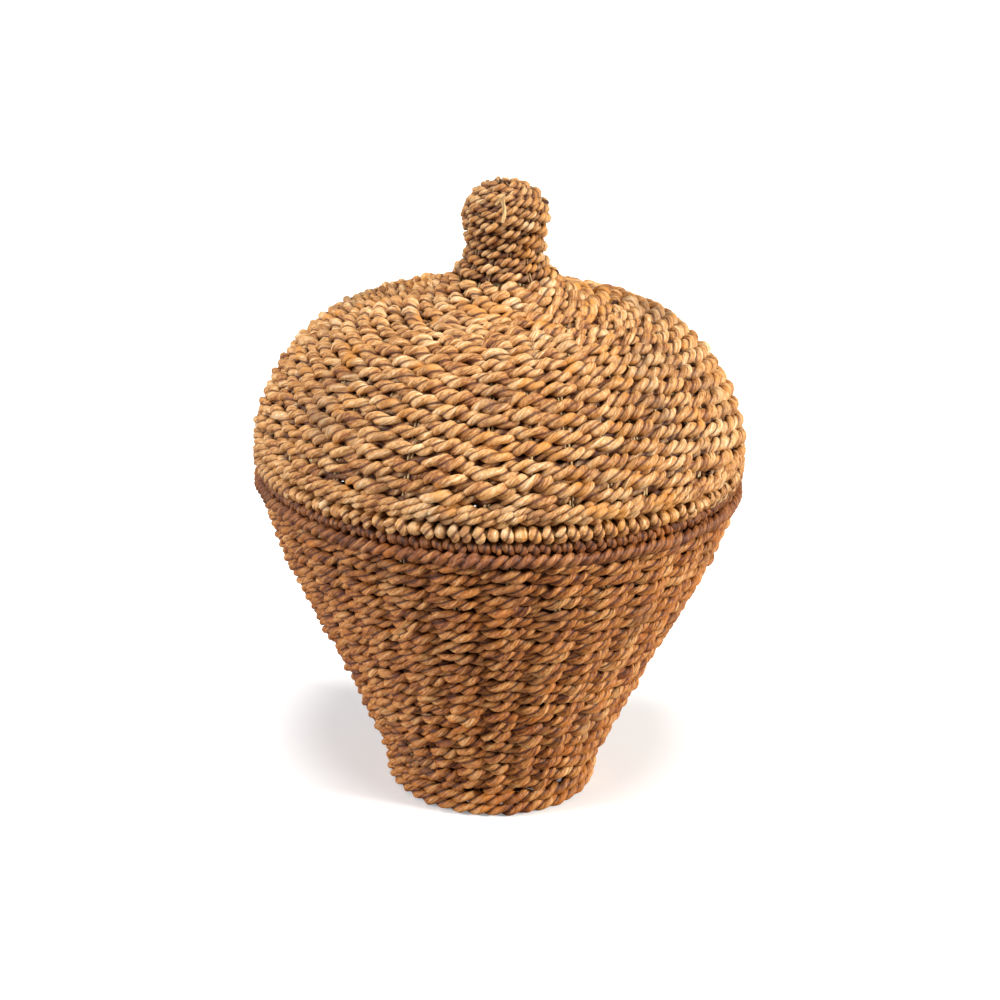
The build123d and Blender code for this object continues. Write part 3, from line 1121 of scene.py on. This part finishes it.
@dataclass
class Lid:
    """The lid: rim, slanting band, dome, crown, knob and the rings inside."""

    shape: Shape
    finishes: Finishes
    stakes: int = 39
    crown_stakes: int = 27
    knob_stakes: int = 13
    rows: tuple[float, float] = (0.0058, 0.0056)
    knob_rows: tuple[float, float] = (0.0048, 0.0044)

    def build(self) -> None:
        """Builds every piece of the lid."""
        self.build_rim()
        self.build_dome()
        self.build_knob()
        self.build_collar()

    def build_rim(self) -> None:
        """The bound rim and the band of slanting strokes above it."""
        node, line, wall = "lid_rim_wrap", self.shape.lid, self.shape.wall
        inner = half_width("collar_rope_upper")
        rim = BoundRim(half_width(node), inner, low_z(node), high_z(node), 0.0088, -0.10, seed=82)
        add_piece(rim.mesh("lid_rim_binding"), Body.LID, self.finishes.binding, (node,))
        top = line.reach(high_z("lid_wale"))
        twine = Twine(width=0.0094, lobe=0.0092)
        band = Wale(line, wall, 0.5 * top, top - 0.0072, 12, 3, twine, depth=0.5 * wall - 0.0036, seed=33)
        add_piece(band.mesh("lid_slanting_band"), Body.LID, self.finishes.cord, ("lid_wale",))

    def build_dome(self) -> None:
        """The dome and the crown, each with its own sticks."""
        line, wall = self.shape.lid, self.shape.wall
        low, crown = line.reach(high_z("lid_wale")), line.reach(high_z("lid_weave_upper"))
        root = line.reach(high_z("crown_weave"))
        dome = Weave(line, wall, low - 0.0008, crown, self.stakes, self.rows, Twine(), seed=73)
        bands = [
            ("dome_weave_lower", "lid_weave_lower", line.reach(high_z("lid_weave_lower"))),
            ("dome_weave_upper", "lid_weave_upper", line.length),
        ]
        dome.lay(Body.LID, self.finishes.cord, bands)
        top = Weave(line, wall, crown, root, self.crown_stakes, self.rows, Twine(), seed=74)
        top.lay(Body.LID, self.finishes.cord, [("crown_weave_spiral", "crown_weave", line.length)])
        sticks = Stakes(line, wall, 0.0, crown, self.stakes, seed=75)
        sticks.lay("dome_sticks", "lid_stakes", Body.LID, self.finishes.stick)
        sticks = Stakes(line, wall, crown, root, self.crown_stakes, seed=76)
        sticks.lay("crown_sticks", "crown_stakes", Body.LID, self.finishes.stick)

    def build_knob(self) -> None:
        """The woven knob, its closing coil, its sticks and the pale tie up its front."""
        line, wall, cord, rows = self.shape.lid, self.shape.wall, self.finishes.cord, self.knob_rows
        root, cap = line.reach(high_z("crown_weave")), line.reach(high_z("knob_weave"))
        thin = 0.66 * wall
        twine = Twine(width=0.0074, lobe=0.0068)
        weft = Weave(line, thin, root, cap, self.knob_stakes, rows, twine, seed=77, uneven=0.6)
        weft.lay(Body.LID, cord, [("knob_weave_spiral", "knob_weave", line.length)])
        end = line.length - 0.004
        close = Weave(line, 0.6 * wall, cap, end, 7, rows, twine, seed=78, uneven=0.6)
        close.lay(Body.LID, cord, [("knob_cap_coil", "knob_cap", line.length)])
        sticks = Stakes(line, thin, root, cap, self.knob_stakes, thickness=0.0014, seed=79)
        # painted shade: the knob's sticks take the darker copy of the straw
        sticks.lay("knob_sticks", "knob_stakes", Body.LID, self.finishes.shaded_stick)
        low, high = line.reach(low_z("knob_tie")), line.reach(high_z("knob_tie"))
        share = np.linspace(0, 1, 14)
        bow = np.sin(math.pi * share)
        front = np.full(14, -math.pi / 2 - 0.06)
        upright = Path(
            line.place(low + share * (high - low), 0.0010 + 0.0012 * bow, front + 0.03 * np.sin(5 * share)),
            1 + 0.15 * bow,
            2.0 * share,
        )
        aslant = Path(
            line.place(high - 0.4 * share * (high - low), 0.0012 + 0.0010 * bow, front - 0.18 * share),
            0.9 + 0.1 * bow,
            1.5 * share,
        )
        mesh = swept_mesh("knob_pale_tie", [upright, aslant], Twine(width=0.0027, bite=0.7).section())
        add_piece(mesh, Body.LID, self.finishes.stick, ("knob_tie",))

    def build_collar(self) -> None:
        """The two rope rings that centre the lid in the mouth."""
        for node, seed in (("collar_rope_upper", 91), ("collar_rope_lower", 92)):
            add_rope_ring(node, Body.LID, self.finishes.rope, seed, 1.08, 0.54, 7, 0.0026)


@dataclass
class Studio:
    """Floor, lights and camera.

    Attributes:
        distance: From the camera to the point that it looks at.
        aim: Height of that point on the basket's axis.
        rise: Angle at which the camera looks down, in degrees.
        roll: How far the camera is turned about its own line of sight, in degrees.
        lens: Focal length in millimetres on a 36 mm sensor.
        shift: Sideways shift of the frame.
        floor_seen: The floor's colour as the camera sees it.
        floor_unseen: Its colour for the light that it throws back up, as under a dark table skirt.
        floor_glow: Light that is added to the floor where the camera sees it, which thins the shadows.
    """

    distance: float = 1.323
    aim: float = 0.2205
    rise: float = 20.4
    roll: float = 1.55
    lens: float = 64.8
    shift: float = 0.002
    floor_seen: tuple = (0.86, 0.86, 0.86, 1.0)
    floor_unseen: tuple = (0.30, 0.27, 0.24, 1.0)
    floor_glow: float = 0.25

    def build(self) -> None:
        """Sets the stage."""
        self.build_floor()
        self.build_lights()
        self.build_camera()

    def build_floor(self) -> None:
        """A wide pale floor."""
        ground = bmesh.new()
        bmesh.ops.create_circle(ground, cap_ends=True, radius=60.0, segments=96)
        mesh = bpy.data.meshes.new("floor")
        ground.to_mesh(mesh)
        ground.free()
        finish = bpy.data.materials.new("pale_floor")
        finish.use_nodes = True
        nodes, links = finish.node_tree.nodes, finish.node_tree.links
        tint = nodes.new("ShaderNodeMix")
        tint.data_type = "RGBA"
        tint.inputs[6].default_value, tint.inputs[7].default_value = self.floor_unseen, self.floor_seen
        seen = nodes.new("ShaderNodeLightPath").outputs["Is Camera Ray"]
        links.new(seen, tint.inputs["Factor"])
        links.new(tint.outputs[2], nodes["Principled BSDF"].inputs["Base Color"])
        glow = nodes.new("ShaderNodeMix")
        glow.data_type = "RGBA"
        glow.inputs[6].default_value, glow.inputs[7].default_value = (0, 0, 0, 1), (1, 1, 1, 1)
        links.new(seen, glow.inputs["Factor"])
        links.new(glow.outputs[2], nodes["Principled BSDF"].inputs["Emission Color"])
        nodes["Principled BSDF"].inputs["Emission Strength"].default_value = self.floor_glow
        nodes["Principled BSDF"].inputs["Roughness"].default_value = 0.9
        mesh.materials.append(finish)
        floor = bpy.data.objects.new("floor", mesh)
        bpy.context.scene.collection.objects.link(floor)

    def lamp(self, name: str, place: tuple, softness: float, power: float, tint: tuple) -> None:
        """A soft far light that shines from a place towards the basket's middle."""
        data = bpy.data.lights.new(name, "SUN")
        data.angle, data.energy, data.color = math.radians(softness), power, tint
        light = bpy.data.objects.new(name, data)
        aim = Vector((0, 0, self.aim)) - Vector(place)
        light.matrix_world = Matrix.Translation(place) @ aim.to_track_quat("-Z", "Y").to_matrix().to_4x4()
        bpy.context.scene.collection.objects.link(light)

    def build_lights(self) -> None:
        """Soft studio light: a warm key from the right, a cooler one from the left and a pale surround."""
        self.lamp("key", (2.4, -0.75, 1.2), 14, 4.55, (1.0, 0.96, 0.90))
        self.lamp("left", (-2.4, -0.65, 1.0), 18, 3.3, (0.97, 0.97, 1.0))
        self.lamp("top", (0.0, -0.8, 3.0), 22, 2.6, (1.0, 0.98, 0.96))
        world = bpy.data.worlds.new("surround")
        world.use_nodes = True
        world.node_tree.nodes["Background"].inputs["Color"].default_value = (1, 1, 1, 1)
        world.node_tree.nodes["Background"].inputs["Strength"].default_value = 0.26
        bpy.context.scene.world = world
        bpy.context.scene.view_settings.view_transform = "Standard"

    def build_camera(self) -> None:
        """The camera, looking along +Y and down."""
        data = bpy.data.cameras.new("camera")
        data.sensor_width, data.lens, data.shift_x = 36.0, self.lens, self.shift
        camera = bpy.data.objects.new("camera", data)
        rise = math.radians(self.rise)
        place = Vector((0, -self.distance * math.cos(rise), self.aim + self.distance * math.sin(rise)))
        turn = Matrix.Rotation(math.pi / 2 - rise, 4, "X") @ Matrix.Rotation(math.radians(self.roll), 4, "Z")
        camera.matrix_world = Matrix.Translation(place) @ turn
        bpy.context.scene.collection.objects.link(camera)
        bpy.context.scene.camera = camera


def dress_hidden_cores(finishes: Finishes) -> None:
    """Gives the CAD nodes that stay in view their finish."""
    for node in ("body_rim_core", "lid_rim_core", "knob_core"):
        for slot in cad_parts[node].material_slots:
            slot.material = finishes.stick


def main() -> None:
    """Builds the basket and its studio."""
    logging.basicConfig(level=logging.INFO, format="%(name)s %(message)s")
    Studio().build()
    shape, finishes = Shape(), Finishes()
    BasketBody(shape, finishes).build()
    Lid(shape, finishes).build()
    dress_hidden_cores(finishes)


if __name__ == "__main__":
    main()
